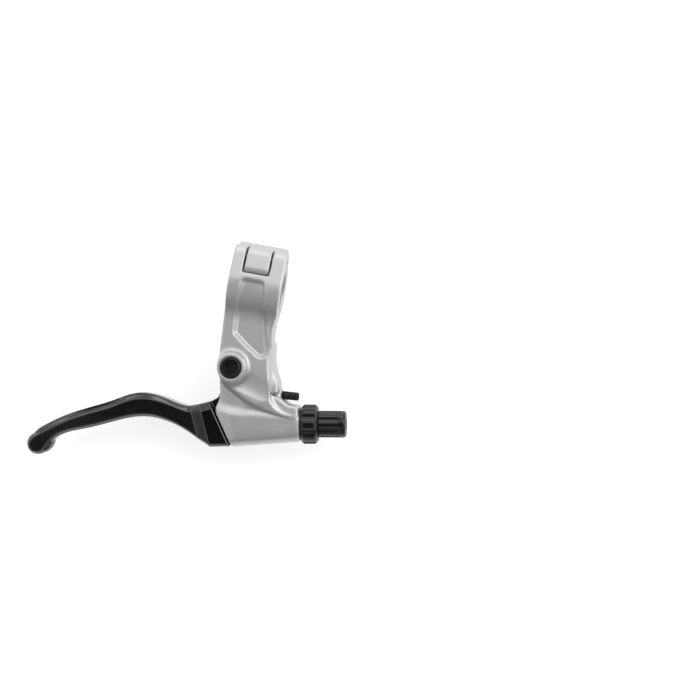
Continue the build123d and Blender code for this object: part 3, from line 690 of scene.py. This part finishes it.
@dataclass
class BarClamp:
    """The hinged rear half of the bar clamp with its pin, screw and washer."""

    band_voxel: float = 0.36
    band_passes: int = 6
    steel_voxel: float = 0.14
    steel_passes: int = 3
    # The band is cleared to this radius round its hinge, except for its tongue between these X.
    gap_r: float = 6.7
    tongue: Point = (-5.1, 5.8)

    def build(self, shop: Workshop) -> list[bpy.types.Object]:
        """Makes band, pin, screw and washer.

        Args:
            shop: the frame and the finishes.

        Returns:
            The four pieces.
        """
        band = shop.softened("clamp_band", self.band_voxel, self.band_passes)
        self.open_gap(band, shop.joint_place("clamp_hinge"))
        made = [shop.seat(band, "clamp_band", "band", SATIN_ALLOY)]
        for node, body, finish in (("clamp_hinge_pin", "body", ZINC_PLATE),
                                   ("clamp_bolt", "clamp_screw", BLACK_OXIDE),
                                   ("clamp_bolt_washer", "clamp_screw", ZINC_PLATE)):
            mesh = shop.softened(node, self.steel_voxel, self.steel_passes)
            made.append(shop.seat(mesh, node, body, finish))
        return made

    def open_gap(self, band: bpy.types.Mesh, hinge: np.ndarray) -> None:
        """Clears the band behind the body's two ears, so that a dark gap shows there.

        Args:
            band: the band's mesh, changed in place.
            hinge: a point of the hinge's axis, which lies along X.
        """
        points = coordinates(band)
        rel = points[:, 1:] - hinge[1:]
        r = np.linalg.norm(rel, axis=1)
        beside = (points[:, 0] < self.tongue[0]) | (points[:, 0] > self.tongue[1])
        near = beside & (r < self.gap_r)
        points[near, 1:] = hinge[1:] + rel[near] * (self.gap_r / r[near])[:, None]
        set_coordinates(band, points)


@dataclass
class PivotJoint:
    """The pivot's bolt and nut, and the bushes and spring that stay as they were drawn."""

    voxel: float = 0.14
    passes: int = 3

    def build(self, shop: Workshop) -> list[bpy.types.Object]:
        """Makes bolt and nut, and dresses bushes and spring.

        Args:
            shop: the frame and the finishes.

        Returns:
            The five pieces.
        """
        made = []
        for node in ("pivot_bolt", "pivot_nut"):
            made.append(shop.seat(shop.softened(node, self.voxel, self.passes), node, "body", BLACK_OXIDE))
        made += [shop.dress(node, SINTERED_BRONZE) for node in ("pivot_bush_front", "pivot_bush_rear")]
        return made + [shop.dress("return_spring", SPRING_WIRE)]


@dataclass
class Lever:
    """The forged lever, rounded most at its tip and in the corner of its root block, and its cable anchor."""

    voxel: float = 0.275
    passes: int = 3
    # The tip's flat face, and the heel below it, whose thickness falls off in steps towards its rim.
    tip_face: Prism = Prism(((-78.6, -80.2), (-80.2, -78.9), (-83.4, -81.0), (-85.6, -82.9), (-87.1, -84.7),
                             (-87.6, -86.7), (-86.75, -88.55), (-85.1, -89.7), (-83.1, -89.9),
                             (-81.3, -89.0), (-80.1, -87.2), (-79.2, -84.4), (-77.6, -81.6)), half_t=4.79)
    heel: Prism = Prism(((-85.0, -86.0), (-83.6, -90.6), (-81.0, -90.2), (-78.9, -88.9), (-77.5, -87.0),
                         (-76.9, -85.1), (-76.9, -82.2), (-75.7, -80.7), (-79.8, -80.2)), half_t=0.8)
    heel_round: tuple[Point, ...] = ((0.96, 1.7), (0.88, 2.6), (0.74, 3.4))
    tip: BlendZone = BlendZone(((-88.0, -84.5), (-84.5, -80.5)), core=2.0, reach=5.5, passes=7)
    heel_flow: BlendZone = BlendZone(((-81.5, -89.6), (-78.5, -87.0), (-77.5, -83.5)),
                                     core=1.6, reach=3.0, passes=10)
    root: BlendZone = BlendZone(((-17.5, -57.0), (-9.5, -70.5)), core=1.5, reach=4.0, passes=9)
    anchor_voxel: float = 0.14
    anchor_passes: int = 4

    def build(self, shop: Workshop) -> list[bpy.types.Object]:
        """Makes lever and anchor.

        Args:
            shop: the frame and the finishes.

        Returns:
            The two pieces.
        """
        steps = [self.heel.scaled(share, half_t) for share, half_t in self.heel_round]
        blade = shop.softened("lever_blade", self.voxel, self.passes, (self.tip, self.heel_flow, self.root),
                              (self.tip_face, self.heel, *steps))
        anchor = shop.softened("cable_anchor", self.anchor_voxel, self.anchor_passes)
        return [shop.seat(blade, "lever_blade", "lever", BLACK_COAT),
                shop.seat(anchor, "cable_anchor", "anchor", ZINC_PLATE)]


@dataclass
class CableAdjuster:
    """The slotted adjuster with its M10 thread, and its lobed locknut."""

    voxel: float = 0.2
    nut_passes: int = 4
    grip_passes: int = 3
    thread: Thread = Thread(start=(16.489, -58.275), tilt_deg=10.6, crest_r=5.0, pitch=1.0, length=21.6,
                            slit_deg=24.0)

    def build(self, shop: Workshop) -> list[bpy.types.Object]:
        """Makes locknut and adjuster.

        Args:
            shop: the frame and the finishes.

        Returns:
            The two pieces.
        """
        nut = shop.softened("adjuster_locknut", self.voxel, self.nut_passes)
        grip = shop.softened("barrel_adjuster", self.voxel, self.grip_passes)
        grip = self.thread.cut_into(grip, shop.material(BLACK_ANODISED))
        return [shop.seat(nut, "adjuster_locknut", "locknut", BLACK_ANODISED),
                shop.seat(grip, "barrel_adjuster", "adjuster", BLACK_ANODISED)]


@dataclass
class ReachScrew:
    """The M4 set screw that limits the lever's way out."""

    thread: Thread = Thread(start=(6.65, -45.89), tilt_deg=5.2, crest_r=2.0, pitch=0.7, length=20.5)

    def build(self, shop: Workshop) -> list[bpy.types.Object]:
        """Makes the screw.

        Args:
            shop: the frame and the finishes.

        Returns:
            Its one piece.
        """
        mesh = self.thread.cut_into(shop.copied("reach_screw"), shop.material(BLACK_OXIDE))
        return [shop.seat(mesh, "reach_screw", "reach", BLACK_OXIDE)]


@dataclass(frozen=True)
class SoftBox:
    """A square lamp: the way to it from what it lights, the length of its sides and its power in watts."""

    name: str
    direction: Place
    size: float
    power: float

    def build(self, aim: Vector, distance: float) -> None:
        """Hangs the lamp so that it faces its aim.

        Args:
            aim: the point that it faces.
            distance: how far from there it hangs.
        """
        data = bpy.data.lights.new(self.name, "AREA")
        data.shape = "SQUARE"
        data.size = self.size * MM
        data.energy = self.power
        way = Vector(self.direction)
        lamp = linked(self.name, data)
        lamp.location = (aim + way.normalized() * distance) * MM
        lamp.rotation_mode = "QUATERNION"
        lamp.rotation_quaternion = way.to_track_quat("Z", "Y")
        lamp.visible_camera = False


@dataclass
class Studio:
    """Plain pale floor, soft lamps and the camera of the product view."""

    floor_z: float = -16.3
    floor_half: float = 3000.0
    floor_colour: str = "d2d2d2"
    floor_glow: float = 0.62
    # The camera: the point of the lever's middle plane at the picture's centre, and how it looks there.
    aim: Point = (45.45, -19.6)
    distance: float = 500.0
    yaw_deg: float = 3.5
    roll_deg: float = 10.6
    mm_per_pixel: float = 0.44
    image_px: int = 700
    sensor: float = 36.0
    clip: Point = (10.0, 10000.0)
    # The lamps, which all face the clamp and arm.
    lamp_aim: Place = (-10.0, -30.0, 0.0)
    lamp_distance: float = 420.0
    lamps: tuple[SoftBox, ...] = (
        SoftBox("lamp_top", (-0.15, 0.92, 0.36), size=140.0, power=0.15),
        SoftBox("lamp_front", (-0.05, 0.5, 0.86), size=260.0, power=0.03),
        SoftBox("lamp_left", (-0.77, 0.53, 0.43), size=120.0, power=0.04),
        SoftBox("lamp_right", (0.7, 0.45, 0.6), size=200.0, power=0.4),
    )
    # The surroundings: strength by height, from 0 at the horizon to 1 straight above the lever's face,
    # and the share of it that is left on the lower side, where the direction's Y passes these two values.
    ring: tuple[Point, ...] = ((0.0, 1.0), (0.3, 0.82), (0.6, 0.86), (0.8, 1.8), (0.88, 1.9), (0.925, 0.06),
                               (1.0, 0.02))
    low_share: float = 0.3
    low_y: Point = (-0.8, 0.4)

    def build(self) -> None:
        """Makes floor, world, lamps and camera."""
        self.floor()
        self.world()
        for lamp in self.lamps:
            lamp.build(Vector(self.lamp_aim), self.lamp_distance)
        self.camera()

    def floor(self) -> None:
        """Makes the pale floor, which shows white to the camera and keeps a soft shadow."""
        mesh = bpy.data.meshes.new("floor")
        corners = [(-1, -1), (1, -1), (1, 1), (-1, 1)]
        half = self.floor_half * MM
        mesh.from_pydata([(x * half, y * half, self.floor_z * MM) for x, y in corners], [], [(0, 1, 2, 3)])
        # Matt white paper: an even pale ground that shows only the object's soft shadow.
        made = bpy.data.materials.new("white_paper_sweep")
        made.use_nodes = True
        tree = made.node_tree
        tree.nodes.clear()
        path = add_node(tree, "ShaderNodeLightPath").outputs
        seen = add_node(tree, "ShaderNodeMath", {0: path["Is Camera Ray"], 1: path["Is Glossy Ray"]},
                        operation="MAXIMUM")
        seen = add_node(tree, "ShaderNodeMath", {0: seen.outputs[0], 1: path["Is Transmission Ray"]},
                        operation="MAXIMUM")
        level = add_node(tree, "ShaderNodeMath", {0: seen.outputs[0], 1: self.floor_glow},
                         operation="MULTIPLY")
        paper = add_node(tree, "ShaderNodeBsdfDiffuse", {"Color": linear(self.floor_colour)})
        glow = add_node(tree, "ShaderNodeEmission", {"Strength": level.outputs[0]})
        both = add_node(tree, "ShaderNodeAddShader", {0: paper.outputs["BSDF"], 1: glow.outputs["Emission"]})
        add_node(tree, "ShaderNodeOutputMaterial", {"Surface": both.outputs["Shader"]})
        mesh.materials.append(made)
        linked("floor", mesh)

    def world(self) -> None:
        """Makes grey surroundings with a bright ring between horizon and camera, dim at its lower side."""
        world = bpy.data.worlds.new("studio")
        bpy.context.scene.world = world
        world.use_nodes = True
        tree = world.node_tree
        tree.nodes.clear()
        way = add_node(tree, "ShaderNodeSeparateXYZ",
                       {"Vector": add_node(tree, "ShaderNodeTexCoord").outputs["Generated"]})
        tilt = add_node(tree, "ShaderNodeMapRange", {
            "Value": way.outputs["Y"], "From Min": self.low_y[0], "From Max": self.low_y[1],
            "To Min": self.low_share, "To Max": 1.0}, interpolation_type="SMOOTHSTEP")
        ring = add_node(tree, "ShaderNodeValToRGB", {"Fac": way.outputs["Z"]})
        ring.color_ramp.elements.remove(ring.color_ramp.elements[1])
        for index, (height, strength) in enumerate(self.ring):
            stop = ring.color_ramp.elements[0] if index == 0 else ring.color_ramp.elements.new(height)
            stop.position = height
            stop.color = (strength, strength, strength, 1.0)
        level = add_node(tree, "ShaderNodeMath", {0: tilt.outputs["Result"], 1: ring.outputs["Color"]},
                         operation="MULTIPLY")
        light = add_node(tree, "ShaderNodeBackground",
                         {"Color": (1.0, 1.0, 1.0, 1.0), "Strength": level.outputs[0]})
        add_node(tree, "ShaderNodeOutputWorld", {"Surface": light.outputs["Background"]})

    def camera(self) -> None:
        """Puts the camera at the photograph's angle, with its axis through the picture's middle."""
        data = bpy.data.cameras.new("camera")
        data.sensor_width = self.sensor
        data.lens = self.sensor * self.distance / (self.image_px * self.mm_per_pixel)
        data.clip_start, data.clip_end = (limit * MM for limit in self.clip)
        turn = Matrix.Rotation(math.radians(self.roll_deg), 3, "Z")
        turn = turn @ Matrix.Rotation(math.radians(self.yaw_deg), 3, "Y")
        camera = linked("camera", data)
        camera.rotation_mode = "QUATERNION"
        camera.rotation_quaternion = turn.to_quaternion()
        camera.location = (Vector((*self.aim, 0.0)) + turn @ Vector((0, 0, self.distance))) * MM
        bpy.context.scene.camera = camera


def main() -> None:
    """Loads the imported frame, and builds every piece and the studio."""
    logging.basicConfig(level=logging.INFO, format="%(name)s %(message)s")
    shop = Workshop(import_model())
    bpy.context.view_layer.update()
    bpy.context.scene.view_settings.view_transform = "Standard"
    for part in (LeverBody(), BarClamp(), PivotJoint(), Lever(), CableAdjuster(), ReachScrew()):
        for piece in part.build(shop):
            LOG.info("%s: %s, %d faces", type(part).__name__, piece.name, len(piece.data.polygons))
    Studio().build()


if __name__ == "__main__":
    main()
